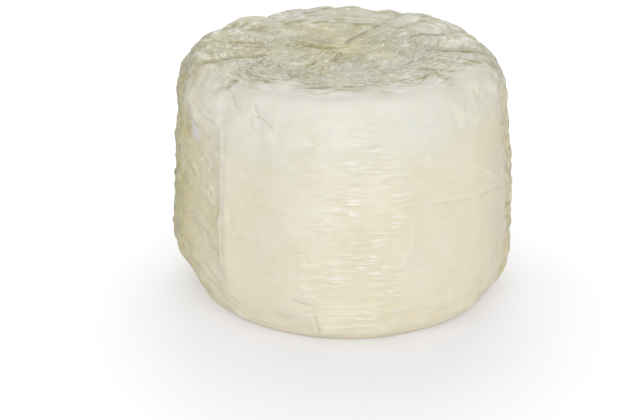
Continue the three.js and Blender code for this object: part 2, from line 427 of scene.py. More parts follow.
def panel_place(angle):
    """Number of the panel and share of the way across it, from one stake to the next."""
    turned = np.mod(angle - STAKE_ANGLE, 2 * math.pi) / PANEL_ANGLE
    number = np.floor(turned).astype(int) % PANELS
    return number, turned - np.floor(turned)


def panel_inset(angle):
    """Share of the radius that a flat panel lies inside the round.

    It is that of a chord, scaled by the sharpness of the nearest stakes.
    """
    number, across = panel_place(angle)
    sharpness = np.array(STAKE_SHARPNESS)
    near = smooth(across, 0.15, 0.85)
    flatness = (1 - near) * sharpness[number] + near * sharpness[(number + 1) % PANELS]
    return flatness * (1 - math.cos(PANEL_ANGLE / 2) / np.cos((across - 0.5) * PANEL_ANGLE))


def side_lump(angle, height):
    """Slow swells of the side: three waves round the wheel that drift with the height."""
    up = math.pi * height / HEIGHT
    waves = np.sin(2 * angle + 0.6) + 0.7 * np.sin(3 * angle + 2 * up) + 0.6 * np.sin(5 * angle - up)
    return LUMP * waves / 2.3


def bulges(angle, height):
    """Sum of the side's local bulges, each a bell in both directions."""
    total = 0
    for degrees, middle, swell, width, tall in BULGES:
        across = turn_from(angle, math.radians(degrees)) * BELLY_RADIUS
        total = total + swell * MM * bell(across, width * MM) * bell(height - middle * MM, tall * MM)
    return total


def top_swell(x, y):
    """Slow swells of the top: two crossing waves."""
    return 0.5 * TOP_SWELL * (np.sin(62 * x + 90 * y) + np.sin(105 * y - 50 * x + 1.2))


def listed_round(angle, pairs):
    """Value at each direction, straight between listed pairs of degrees and value, closed round."""
    degrees, values = np.transpose(pairs)
    return np.interp(np.degrees(angle), degrees, values, period=360)


def furrows(angle, radius, waver):
    """Depth of the furrows between the lobes, and the signed way to the nearest one's middle.

    Each falls off on both sides as an exponential, so that the lobes are puffed and meet in a sharp line.
    It starts away from the middle and is full towards the rim; waver shifts it sideways.
    """
    total = np.zeros_like(angle)
    nearest = np.full_like(angle, np.inf)
    for degrees, depth, _ in FURROWS:
        way = turn_from(angle, math.radians(degrees)) * radius + waver
        total = np.maximum(total, depth * MM * np.exp(-np.abs(way) / FURROW_WIDTH))
        nearest = np.where(np.abs(way) < np.abs(nearest), way, nearest)
    return total * smooth(radius, FURROW_START, FURROW_FULL), nearest


def pressed_form(angle, radius, height, furrow):
    """The turned form with the large marks of the basket: x, y and z of each place."""
    on_side = smooth(radius, FOOT_FLAT_RADIUS - 3 * MM, FOOT_FLAT_RADIUS + 3 * MM)
    on_top = smooth(height, HEIGHT - SHOULDER_RISE, HEIGHT)
    below = on_side * (1 - on_top)
    panelled = below * (0.2 + 0.8 * smooth(height, 6 * MM, 34 * MM))
    panelled *= 1 - 0.5 * smooth(height, 78 * MM, 96 * MM)
    wide = (
        radius * (1 - panelled * panel_inset(angle))
        + below * (side_lump(angle, height) + bulges(angle, height))
        - 0.5 * on_top * furrow * smooth(radius, 0, TOP_FLAT_RADIUS)
    )
    x = wide * np.cos(angle)
    y = wide * np.sin(angle)
    drop = MM * listed_round(angle, RIM_DROPS) * smooth(radius, DROP_START, TOP_FLAT_RADIUS)
    z = height + on_top * (top_swell(radius * np.cos(angle), radius * np.sin(angle)) - drop - furrow)
    return np.stack([x + LEAN * (0.5 - height / HEIGHT), y, z], axis=-1)


def way_from_line(places, line):
    """Distance from each place to a broken line, negative on the line's right."""
    nearest = np.full(places.shape[:-1], np.inf)
    for start, end in zip(line[:-1], line[1:]):
        run = end - start
        offset = places - start
        share = np.clip(offset @ run / (run @ run), 0, 1)
        away = np.linalg.norm(offset - share[..., None] * run, axis=-1)
        signed = np.copysign(away, run[0] * offset[..., 1] - run[1] * offset[..., 0])
        nearest = np.where(away < np.abs(nearest), signed, nearest)
    return nearest


def side_weave(angle, height, places, pitch, seed):
    """Level crests left between the basket's strands, from 0 to 1.

    A bell across the nearest crest, half a pitch higher in every other panel, dying out at the stakes,
    wavering and broken by noise.
    """
    number, across = panel_place(angle)
    waver = 0.25 * curd_noise(places, 22 * MM, seed)
    turned = height / pitch + 0.5 * (number % 2) + waver
    away = np.abs(turned - np.round(turned)) * pitch
    broken = smooth(curd_noise(places, (12 * MM, 12 * MM, 5 * MM), seed + 1), -0.25, 0.45)
    strength = np.array(WEAVE_STRENGTH)[number]
    return strength * np.sqrt(np.sin(math.pi * across)) * broken * bell(away, 0.2 * pitch)


def woven_bars(angle, reach, plan, places, seed):
    """Phase of the bars woven over the top, one whole turn a bar, and how strongly they show, from 0 to 1.

    In each lobe they lie round the wheel with a tilt, a pitch and a strength of its own, dying out at the
    furrows. In one sector they all lie along a slant, and behind the middle they leave it like rays. Noise
    warps the phase and wears bars away; where two kinds meet, neither shows.
    """
    draw = np.random.default_rng(seed)
    starts = np.radians([degrees for degrees, _, _ in FURROWS])
    edges = np.append(starts - starts[0], 2 * math.pi)
    turned = np.mod(angle - starts[0], 2 * math.pi)
    lobe = np.searchsorted(edges, turned, side="right") - 1
    wide = np.diff(edges)[lobe]
    across = (turned - edges[lobe]) / wide
    tilts = np.tan(np.radians(draw.normal(0, 9, len(FURROWS))))
    pitches = BAR_PITCH * draw.uniform(0.85, 1.2, len(FURROWS))
    strengths = np.array([strength for _, _, strength in FURROWS])
    warp = 2.2 * MM * curd_noise(places, 12 * MM, seed) + 0.8 * MM * curd_noise(places, 5 * MM, seed + 1)
    bow = 1.5 * MM * (2 * across - 1) ** 2
    phase = (reach + tilts[lobe] * (across - 0.5) * wide * reach + bow + warp) / pitches[lobe]
    amount = strengths[lobe] * smooth(np.minimum(across, 1 - across), 0.02, 0.16)

    slant = bell(turn_from(angle, SLANT_MIDDLE), math.radians(34))
    slant *= 1 - smooth(reach, 38 * MM, 48 * MM)
    over = plan @ np.array([-math.sin(SLANT_COURSE), math.cos(SLANT_COURSE)])
    rays = bell(turn_from(angle, RAYS_MIDDLE), math.radians(48)) * (1 - smooth(reach, 26 * MM, 40 * MM))
    fan = RAYS_A_RADIAN * turn_from(angle, RAYS_MIDDLE)
    others = ((slant, (over + warp) / SLANT_PITCH, 0.9), (rays, fan + warp / BAR_PITCH, 0.35))
    for mask, other, strength in others:
        apart = smooth(np.abs(mask - 0.5), 0, 0.2)
        phase = np.where(mask > 0.5, other, phase)
        amount = apart * np.where(mask > 0.5, strength, amount)
    worn = smooth(curd_noise(places, 11 * MM, seed + 2), -0.5, 0.2)
    return phase, amount * worn * smooth(reach, BAR_START, BAR_FULL)


def bar_relief(phase, seed):
    """Height of bars from their phase: a half sine that leans, flat on top, each bar of its own height."""
    heights = np.random.default_rng(seed).uniform(0.3, 1.0, BAR_HEIGHTS)
    bar = np.floor(phase).astype(int)
    return heights[bar % BAR_HEIGHTS] * np.sin(math.pi * (phase - bar) ** 1.4) ** 0.6


def stroke(along, across, length, width):
    """One raised stroke: a bell across it with a groove along one edge, easing out towards both ends."""
    ends = 1 - smooth(np.abs(along), 0.2 * length, 0.5 * length)
    return ends * (bell(across, width) - 0.7 * bell(across - 1.5 * width, 0.8 * width))


def stroke_course(heading, direction):
    """Course of a stroke of the top that lies in a direction from the middle."""
    if heading == "round":
        return direction + math.pi / 2
    if heading == "out":
        return direction
    return math.radians(heading)


def top_strokes(plan, seed):
    """Heights of the strokes scattered over the top, each along its own heading and bent with the rim."""
    draw = np.random.default_rng(seed)
    total = np.zeros(plan.shape[:-1])
    for count, start, end, inner, outer, heading, short, long, width, height in TOP_STROKES:
        directions = np.radians(draw.uniform(start, end, count))
        radii = np.sqrt(draw.uniform(inner**2, outer**2, count)) * MM
        lengths = draw.uniform(short, long, count) * MM
        heights = height * MM * draw.uniform(0.4, 1.2, count)
        tilts = np.radians(draw.normal(0, 14, count))
        for direction, radius, length, high, tilt in zip(directions, radii, lengths, heights, tilts):
            offset = plan - radius * np.array([math.cos(direction), math.sin(direction)])
            near = np.abs(offset).max(axis=-1) < 0.6 * length + 2 * MM
            course = stroke_course(heading, direction) + tilt
            bend = 0.5 / radius if heading == "round" else 0
            along = offset[near] @ np.array([math.cos(course), math.sin(course)])
            across = offset[near] @ np.array([-math.sin(course), math.cos(course)]) - bend * along**2
            total[near] += high * stroke(along, across, length, width * MM)
    return total


def side_strokes(from_front, height, seed):
    """Heights of the strokes scattered round the side, nearly level."""
    draw = np.random.default_rng(seed)
    total = np.zeros_like(height)
    for count, start, end, low, high, rise, short, long, width, tall in SIDE_STROKES:
        directions = np.radians(draw.uniform(start, end, count))
        middles = draw.uniform(low, high, count) * MM
        lengths = draw.uniform(short, long, count) * MM
        heights = tall * MM * draw.uniform(0.3, 1.2, count)
        rises = np.radians(rise + draw.normal(0, 3, count))
        for direction, middle, length, lift, course in zip(directions, middles, lengths, heights, rises):
            round_way = turn_from(from_front, direction) * BELLY_RADIUS
            up = height - middle
            near = (np.abs(round_way) < 0.6 * length) & (np.abs(up) < 0.3 * length + 3 * MM)
            along = round_way[near] * math.cos(course) + up[near] * math.sin(course)
            across = up[near] * math.cos(course) - round_way[near] * math.sin(course)
            total[near] += lift * stroke(along, -across, length, width * MM)
    return total


def blurred(grid, steps):
    """Running mean of a grid over that many steps each way, closed round the columns."""
    padded = np.pad(grid, ((steps, steps), (0, 0)), mode="edge")
    window = range(2 * steps + 1)
    rows = sum(padded[k:k + len(grid)] for k in window) / len(window)
    return sum(np.roll(rows, k - steps, axis=1) for k in window) / len(window)


def length_property(name, description, default):
    """A length that a user may change, in metres."""
    return FloatProperty(name=name, description=description, default=default, unit="LENGTH")


def colour_property(name, description, default):
    """A colour that a user may change: linear red, green and blue."""
    return FloatVectorProperty(name=name, description=description, default=default, subtype="COLOR", size=3)


class CheeseRind(bpy.types.PropertyGroup):
    """Relief and colours of the wheel's skin."""

    weave_pitch: length_property("Weave pitch", "Height from one level crest to the next", 5.1 * MM)
    weave_depth: length_property("Weave depth", "Height of the crests on the side", 0.5 * MM)
    bar_depth: length_property("Bar depth", "Height of the bars woven over the top", 0.6 * MM)
    grain_depth: length_property("Grain depth", "Height of the curd's small lumps", 0.5 * MM)
    seed: IntProperty(name="Seed", description="Start of every random draw", default=7)
    rind_colour: colour_property("Rind", "Colour of the smooth rind", (0.835, 0.785, 0.63))
    # The shoulder colour is partly a whiter curd and partly painted light where the front shoulder catches
    # the key.
    pale_colour: colour_property("Shoulder", "Colour of the whiter shoulder", (0.795, 0.793, 0.702))
    crown_colour: colour_property("Top", "Colour of the woven top", (0.56, 0.535, 0.31))
    sheet_colour: colour_property("Sheets", "Colour of the top's paler sheets", (0.735, 0.72, 0.59))
    # The gleam colour is a painted reflection of the pale sky on wet patches.
    gleam_colour: colour_property("Gleam", "Colour of the wet patches", (0.80, 0.79, 0.83))
    straw_colour: colour_property("Straw", "Colour of the coarse parts of the side", (0.72, 0.61, 0.22))
    # The dull colour is painted shade over the middle panel and between its dashes, and also a random
    # mottle.
    dull_colour: colour_property("Dull", "Colour between the dashes of the side", (0.71, 0.67, 0.43))
    olive_colour: colour_property("Olive", "Colour near the middle of the top", (0.50, 0.44, 0.11))
    # Hollow colour: painted shade in hollows, furrows, gaps, seams and pits; random tone of cells, specks,
    # streaks.
    hollow_colour: colour_property("Hollows", "Colour in furrows and creases", (0.48, 0.44, 0.25))
    tan_colour: colour_property("Foot", "Colour of the yellower foot and right side", (0.89, 0.815, 0.595))
    # Partly paler curd, partly a painted sheen of the pale backdrop.
    pale_spot_colour: colour_property("Paleness", "Colour of the palest spots of the top", (0.76, 0.75, 0.69))
    # Crest colour: painted highlights on crests, glints, dashes and shoulder, partly on flecks; also pale
    # mottles.
    crest_colour: colour_property("Crests", "Colour of raised edges", (0.92, 0.905, 0.81))
    # The crack colour is painted shade in thin cracks, the top's furrows and the edges of its flaps.
    crack_colour: colour_property("Cracks", "Colour of thin cracks", (0.43, 0.38, 0.20))
    # The ridge colour is a painted highlight along thin raised lines.
    ridge_colour: colour_property("Ridges", "Colour of thin raised lines", (0.94, 0.895, 0.73))
    stain_colour: colour_property("Stain", "Colour of the stain by the middle", (0.60, 0.42, 0.19))


class CheeseStage(bpy.types.PropertyGroup):
    """Floor, lights and camera."""

    floor_colour: colour_property("Floor", "Colour of the floor", (0.83, 0.828, 0.882))
    key_power: FloatProperty(
        name="Key light", description="Power of the soft light in front", default=5.3, unit="POWER"
    )
    back_power: FloatProperty(
        name="Back light", description="Power of the wide soft light behind", default=3.6, unit="POWER"
    )
    sky_strength: FloatProperty(
        name="Sky", description="Strength of the light from all round", default=0.58
    )
    lens: FloatProperty(
        name="Lens", description="Focal length on a 36 mm sensor", default=92.1, unit="CAMERA"
    )


class SkinGrid:
    """The skin's places on a grid, rows by columns, with noise and shares from 0 to 1 over it.

    Its methods take lengths in millimetres and directions in degrees. A share that rises is 0 up to a low
    value and 1 from a high one; a bell is 1 in its middle.
    """

    def __init__(self, seed):
        self.seed = seed
        rows = wheel_profile()
        self.angle = column_angles()[None, :] + np.zeros((len(rows), 1))
        flat = np.zeros_like(self.angle)
        self.radius = rows[:, :1] + flat
        self.height = rows[:, 1:] + flat
        self.reach = reach_from_middle(rows)[:, None] + flat
        self.from_front = turn_from(self.angle, -math.pi / 2)

        heading = np.stack([np.cos(self.angle), np.sin(self.angle)], axis=-1)
        self.places = np.concatenate([self.radius[..., None] * heading, self.height[..., None]], axis=-1)
        self.plan = self.reach[..., None] * heading
        self.strand = np.concatenate([STRANDS_A_RADIAN * heading, self.reach[..., None] / MM], axis=-1)
        normals = profile_normals(rows)[:, None, :]
        upward = normals[..., 1:] + flat[..., None]
        self.outward = np.concatenate([normals[..., :1] * heading, upward], axis=-1)

        climb = self.height + np.maximum(0, TOP_FLAT_RADIUS - self.radius) * (self.height > FOOT_RISE)
        self.unrolled = np.stack([self.from_front * BELLY_RADIUS, climb], axis=-1)
        self.wobble = np.stack([self.noise(7, "wobble_across"), self.noise(7, "wobble_up")], axis=-1)

    def noise(self, cell, name):
        """Curd noise of a cell over the skin's places, started by its own named seed."""
        return curd_noise(self.places, np.asarray(cell) * MM, self.seed + SEEDS[name])

    def up(self, low, high):
        """Rises with the height."""
        return smooth(self.height, low * MM, high * MM)

    def out(self, low, high):
        """Rises with the reach over the skin from the middle of the top."""
        return smooth(self.reach, low * MM, high * MM)

    def right(self, low, high):
        """Rises with the turn to the right of the front."""
        return smooth(self.from_front, math.radians(low), math.radians(high))

    def left(self, low, high):
        """Rises with the turn to the left of the front."""
        return smooth(-self.from_front, math.radians(low), math.radians(high))

    def turned(self, low, high):
        """Rises with the turn away from the front, either way."""
        return smooth(np.abs(self.from_front), math.radians(low), math.radians(high))

    def level(self, middle, width):
        """Bell about a height."""
        return bell(self.height - middle * MM, width * MM)

    def facing(self, degrees, width):
        """Bell about a direction that is counted to the right of the front."""
        return bell(turn_from(self.from_front, math.radians(degrees)), math.radians(width))

    def toward(self, degrees, width):
        """Bell about a direction that is counted from +X."""
        return bell(turn_from(self.angle, math.radians(degrees)), math.radians(width))

    def spot(self, x, y, width):
        """Round bell about a plan place of the top."""
        return bell(np.linalg.norm(self.plan - np.array([x, y]) * MM, axis=-1), width * MM)


class SkinZones:
    """Shares of the skin, from 0 to 1, of each kind of surface, and the reach of the top's rim."""

    def __init__(self, grid):
        self.rim = MM * listed_round(grid.angle, RIM) + RIM_WAVER * grid.noise(13, "rim")
        ragged = curd_noise(grid.strand, RIM_STRAND_CELL, grid.seed + SEEDS["rim_strands"])
        self.rim += RIM_RAGGEDNESS * ragged
        self.crown = 1 - smooth(grid.reach, self.rim - RIM_INSIDE, self.rim + RIM_OUTSIDE)
        self.skin = grid.up(1, 7)
        self.side = self.skin * (1 - self.crown)
        self.turned_away = grid.turned(*BACK_START)
        self.frontal = 1 - grid.turned(*FRONT_END)

        degrees = np.degrees(grid.from_front)
        soft = grid.up(74, 104) + 1 - grid.up(14, 34)
        self.left = smooth(-degrees + 1.5 * grid.wobble[..., 0], 43, 46 + 36 * soft)
        right = smooth(degrees + 2.5 * grid.wobble[..., 1], 66, 73)
        patchy = smooth(grid.noise(30, "coarse_patches"), -0.35, 0.35)
        below_top = smooth(HEIGHT - grid.height, 3 * MM, 18 * MM)
        self.coarse = np.maximum(self.left, right) * (0.5 + 0.5 * patchy) * below_top
        self.rough = np.clip(np.maximum(self.coarse, self.crown), SMOOTH_ROUGHNESS, 1)

        shifted = grid.from_front + 0.05 * grid.wobble[..., 1]
        right_edge = smooth(shifted, math.radians(65), math.radians(77))
        edge = np.maximum(grid.left(60, 80), right_edge)
        self.edge = edge * self.side * grid.up(14, 40) * (1 - 0.85 * self.turned_away)


def closed_skin(name, rings, low_pole, high_pole):
    """Mesh of a grid that is closed round its columns and ends in a fan of triangles at each pole.

    rings is rows by columns by 3, from the low pole up, with the columns anticlockwise from above.
    """
    rows, columns = rings.shape[:2]
    index = np.arange(rows * columns).reshape(rows, columns)
    following = np.roll(index, -1, axis=1)
    quads = np.stack([index[:-1], following[:-1], following[1:], index[1:]], axis=-1).reshape(-1, 4)
    pole = np.full(columns, rows * columns)
    low_fan = np.stack([pole, following[0], index[0]], axis=-1)
    high_fan = np.stack([pole + 1, index[-1], following[-1]], axis=-1)
    points = np.concatenate([rings.reshape(-1, 3), [low_pole, high_pole]])
    mesh = bpy.data.meshes.new(name)
    mesh.from_pydata(points.tolist(), [], quads.tolist() + low_fan.tolist() + high_fan.tolist())
    mesh.shade_smooth()
    return mesh


def paint(mesh, name, grid):
    """Puts a number or a vector for each vertex into a named attribute; a pole takes its ring's mean."""
    kind, field = ("FLOAT", "value") if grid.ndim == 2 else ("FLOAT_VECTOR", "vector")
    poles = np.stack([grid[0].mean(axis=0), grid[-1].mean(axis=0)])
    values = np.concatenate([grid.ravel(), poles.ravel()]).astype(np.float32)
    mesh.attributes.new(name, kind, "POINT").data.foreach_set(field, values)


def column_angles():
    """Directions of the grid's columns: even steps from the front, drawn together there by a sine."""
    even = np.linspace(-math.pi, math.pi, COLUMNS, endpoint=False)
    return even - FRONT_SHARE * np.sin(even) - math.pi / 2


def crease_marks(grid, zones, furrow, furrow_way):
    """Relief of the creases, and the ways and depths from which thin cracks are drawn as painted shade and
    ridges as painted highlights.

    A crease is a bell across its broken line, weaker where noise wears it. A negative depth raises it to a
    ridge. The furrows of the top count as faint cracks.
    """
    crown = zones.crown
    dents = np.zeros_like(grid.angle)
    ways = {"crack": furrow_way, "ridge": np.full_like(grid.angle, LINE_REACH * MM)}
    depths = {"crack": 0.2 * crown * furrow / MM, "ridge": np.zeros_like(grid.angle)}
    shares = {"crack": 0.5 + 0.5 * crown, "ridge": 2}
    worn = 0.35 + 0.65 * smooth(grid.noise(9, "creases"), -0.5, 0.1)
    creases = [(grid.unrolled, SIDE_UNIT * points, depth, width) for depth, width, points in SIDE_CREASES]
    creases += [(grid.plan, MM * np.array(points), depth, width) for depth, width, points in TOP_CREASES]
    for flat, line, depth, width in creases:
        way = way_from_line(flat + CREASE_BEND * MM * grid.wobble, line)
        dents -= depth * MM * worn * bell(way, width * MM)
        kind = "crack" if depth > 0 else "ridge"
        fade = bell(way, LINE_FADE * MM)
        depths[kind] = np.maximum(depths[kind], shares[kind] * abs(depth) * worn * fade)
        ways[kind] = np.where(np.abs(way) < np.abs(ways[kind]), way, ways[kind])
    return dents, {
        "crack_way": np.clip(ways["crack"] * (1 - 0.55 * crown) / MM, -LINE_REACH, LINE_REACH),
        "crack_depth": np.clip(depths["crack"], 0, 1),
        "ridge_way": np.clip(ways["ridge"] / MM, -LINE_REACH, LINE_REACH),
        "ridge_depth": np.clip(depths["ridge"], 0, 1) * (1 - 0.7 * crown),
    }


def fine_relief(rind, grid, zones, bars, dents):
    """Height of the fine relief over the pressed form: noises, crests, bars, strokes and creases summed."""
    crown = zones.crown
    rough = zones.rough
    seed = grid.seed
    beside = grid.turned(35, 60)
    grain = 0.7 * grid.noise(14, "grain") + 0.5 * grid.noise(7, "mid_grain")
    grain += 0.25 * grid.noise(3.2, "fine_grain")
    foot = grid.level(5, 9) * grid.noise(11, "foot")
    foot += 0.7 * beside * grid.level(14, 16) * grid.noise(6, "fine_foot")
    shoulder = grid.out(50, 58) * (1 - grid.out(76, 92)) * (0.3 + 0.7 * beside)
    shoulder *= grid.noise(10, "shoulder") + 0.5 * grid.noise(5, "fine_shoulder")
    drips = grid.level(95, 15) * grid.noise((6, 6, 14), "drips")
    coarse = zones.coarse * (grid.noise(8, "coarse") + 0.5 * grid.noise(4, "fine_coarse"))
    edge = zones.edge * (grid.noise((5.5, 5.5, 4.5), "fine_edge") + grid.noise(11, "edge"))
    weave = side_weave(grid.angle, grid.height, grid.places, rind.weave_pitch, seed + SEEDS["weave"])
    relief = zones.skin * (
        rind.grain_depth * (0.3 + 0.7 * rough) * grain
        + FOOT_LUMP * foot
        + SHOULDER_LUMP * shoulder
        + DRIP * (1 - rough) * drips
        + COARSE_LUMP * (coarse + edge)
        + SMOOTH_LUMP * (1 - rough) * grid.noise((9, 9, 5), "smooth")
        + zones.side * rind.weave_depth * weave * (1 - 0.8 * grid.up(72, 100))
        + crown * rind.bar_depth * (bars - 0.3)
        + crown * top_strokes(grid.plan, seed + SEEDS["top_strokes"])
        + (1 - crown) * side_strokes(grid.from_front, grid.height, seed + SEEDS["side_strokes"])
        + dents
    )
    under = (grid.height <= 0) * (1 - smooth(grid.radius, 50 * MM, 60 * MM))
    return relief - UNDER_PIT * under * smooth(grid.noise(11, "under"), -0.5, 0.7)


def flake_paint(grid, zones):
    """Where the top is flaky, where its flakes lie along the slant, and the places that shape them."""
    fingers = np.maximum(grid.toward(10, 50), 0.8 * grid.toward(165, 32)) * grid.out(36, 46)
    ahead = -np.sin(grid.angle)
    rightward = np.cos(grid.angle)
    flake = zones.crown * grid.out(2, 8) * (1 - 0.85 * fingers)
    flake *= 1 - 0.7 * smooth(grid.reach, zones.rim - 12 * MM, zones.rim - 3 * MM) * smooth(ahead, 0, 0.5)
    flake *= 1 - 0.2 * smooth(rightward, 0.1, 0.7)
    flake *= 0.35 + 0.65 * smooth(grid.noise(13, "flakes"), -0.5, 0.2)
    flake *= 1 - 0.6 * grid.toward(100, 45)
    slanted = np.clip(grid.toward(228, 36) + smooth(rightward, 0.2, 0.6), 0, 1) * (1 - grid.out(38, 48))
    slanted = np.maximum(slanted, (1 - grid.out(28, 36)) * smooth(ahead, -0.5, 0))
    bent = grid.plan + 2.5 * MM * grid.wobble
    along = bent @ np.array([math.cos(SLANT_COURSE), math.sin(SLANT_COURSE)]) / SLANT_FLAKE_LENGTH
    across = bent @ np.array([-math.sin(SLANT_COURSE), math.cos(SLANT_COURSE)]) / SLANT_FLAKE_WIDTH
    slant_way = np.stack([along, across, np.zeros_like(along)], axis=-1)
    return {"flake": flake, "slanted": slanted, "slant_way": slant_way, "strand": grid.strand}


def top_paint(grid, zones):
    """Tints of the top: the woven crown with its cream corner, olive middle, pale spots that are partly
    painted sheen, and stain.
    """
    cream = grid.toward(211, 15) * grid.out(44, 56)
    offset = grid.plan - MM * np.array(OLIVE_MIDDLE)
    from_middle = np.hypot(offset[..., 0] * np.where(offset[..., 0] < 0, 0.6, 1.05), offset[..., 1])
    groove = bell(way_from_line(grid.plan, MM * np.array(GROOVE)), 4 * MM)
    return {
        "crown": zones.crown * (1 - 0.6 * cream),
        "olive": zones.crown * np.clip(1.3 * bell(from_middle, 38 * MM) + groove, 0, 1),
        # Pale spots: partly paler curd, partly painted sheen.
        "pale_spots": zones.crown * np.max([grid.spot(*place) for place in PALE_TOP_SPOTS], axis=0),
        "stain": 0.7 * bell(way_from_line(grid.plan, MM * np.array(STAIN)), 1.8 * MM),
    }


def dash_strength(grid, zones):
    """How strongly level dashes show: patchily, most on the middle panel and next on the back."""
    sideways = np.degrees(grid.from_front) + 5 * grid.noise((14, 14, 9), "panel_sides")
    middle_panel = smooth(sideways, -20, -8) * (1 - smooth(sideways, 12, 26))
    dash = np.maximum((0.24 + 0.76 * middle_panel) * (1 - zones.coarse), 0.8 * zones.turned_away)
    patches = 0.2 + 0.8 * smooth(grid.noise(15, "dash_patches"), -0.4, 0.3)
    return dash * (1 - zones.crown) * grid.out(64, 86) * patches


def straw_strength(grid, zones):
    """How straw-coloured the skin is: where it is coarse, more towards the limbs and less at the back."""
    straw = zones.coarse * (0.35 + 0.65 * grid.turned(44, 84))
    upper_limb = 0.7 * grid.left(57.3, 77.35) * grid.up(68, 84) * (1 - zones.crown)
    return np.maximum(straw, upper_limb) * (1 - 0.7 * zones.turned_away)


def side_paint(grid, zones):
    """Tints of the side: pale shoulder, partly painted light, and its painted highlight; tan foot and
    right, with painted light at the contact; olive limb with painted shade; painted gleams; dashes and
    white spots.
    """
    off_top = 1 - zones.crown
    plate = np.maximum(
        1.2 * grid.facing(-64, 27) * grid.up(80, 96), grid.facing(58, 20) * grid.up(86, 102)
    )
    # Tan foot and right side, with a band along the floor contact that is painted light against the shade
    # there.
    tan = (1 - grid.up(6, 46)) * (0.4 + 0.6 * grid.turned(5, 57.3)) + 0.5 * (1 - grid.up(2, 14))
    tan += np.maximum(grid.right(26, 56), zones.turned_away) * (1 - grid.up(82, 102))
    # Gleam: a painted reflection of the sky along a line on the upper left side, and at the gleam spot.
    gleam = bell(way_from_line(grid.unrolled + MM * grid.wobble, SIDE_UNIT * GLEAM), 2.4 * MM)
    spots = [
        grid.facing(degrees, math.degrees(wide * MM / BELLY_RADIUS)) * grid.level(middle, tall)
        for degrees, middle, wide, tall in WHITE_SPOTS
    ]
    # Olive towards the left limb: partly the yellower rind there, partly painted shade on the side turned
    # from the key.
    limb = zones.left * grid.left(50, 84) * (0.7 + 0.3 * grid.level(40, 34)) * (1 - zones.turned_away)
    return {
        # Pale upper front: partly whiter curd, partly painted light where the shoulder catches the low key
        # light.
        "pale": grid.up(62, 100) * zones.frontal,
        # Painted highlight along the top of the front shoulder, with lighter plates on both shoulders.
        "shoulder_highlight_and_plates": off_top * np.maximum(grid.up(98, 108) * zones.frontal, 0.8 * plate),
        "tan": np.clip(tan, 0, 1),
        "patchy": 0.2 + 0.45 * plate * (1 - 0.7 * zones.crown) + 0.1 * zones.coarse,
        "straw": straw_strength(grid, zones),
        "limb": limb,
        "edge": zones.edge,
        "gleam": np.maximum(gleam, 0.6 * grid.spot(*GLEAM_SPOT)),
        "dash": dash_strength(grid, zones),
        "white": off_top * np.max(spots, axis=0),
    }


def hump_paint(zones, relief, furrow, straw):
    """Painted shade in the hollows and furrows of the fine relief and painted highlights on its crests, by
    its height over the mean of its neighbourhood.
    """
    hump = relief - blurred(relief, 3)
    hollow_shade = np.maximum(zones.crown, straw) * smooth(-hump, 0.02 * MM, 0.3 * MM)
    hollow_shade += 0.3 * zones.crown * smooth(furrow, 0, 2 * MM)
    crest_highlight = zones.crown + 0.35 * (1 - zones.crown) * (1 - zones.coarse)
    return {
        "hollow_shade": np.clip(hollow_shade, 0, 1),
        "crest_highlight": np.clip(crest_highlight * smooth(hump, 0.03 * MM, 0.3 * MM), 0, 1),
    }


def wheel_mesh(rind):
    """The wheel's painted skin: the pressed form, moved along the profile's normals by its fine relief."""
    grid = SkinGrid(rind.seed)
    zones = SkinZones(grid)
    furrow, furrow_way = furrows(grid.angle, grid.radius, 3 * MM * grid.noise(20, "furrows"))
    dents, lines = crease_marks(grid, zones, furrow, furrow_way)
    bar_phase, bar_amount = woven_bars(
        grid.angle, grid.reach, grid.plan, grid.places, grid.seed + SEEDS["bars"]
    )
    bars = bar_amount * bar_relief(bar_phase, grid.seed + SEEDS["bar_heights"])
    relief = fine_relief(rind, grid, zones, bars, dents)

    rings = pressed_form(grid.angle, grid.radius, grid.height, furrow) + relief[..., None] * grid.outward
    rings[..., 2] = np.maximum(rings[..., 2], 0)
    middle = (rings.min(axis=(0, 1)) + rings.max(axis=(0, 1))) / 2
    rings[..., :2] -= middle[:2]
    mesh = closed_skin("cheese_rind", rings, rings[0].mean(axis=0), rings[-1].mean(axis=0))

    paints = {"rough": zones.rough, "bar_phase": bar_phase, "bar_amount": zones.crown * bar_amount}
    paints |= lines | flake_paint(grid, zones) | top_paint(grid, zones) | side_paint(grid, zones)
    paints |= hump_paint(zones, relief, furrow, paints["straw"])
    for name, values in paints.items():
        paint(mesh, name, values)
    return mesh


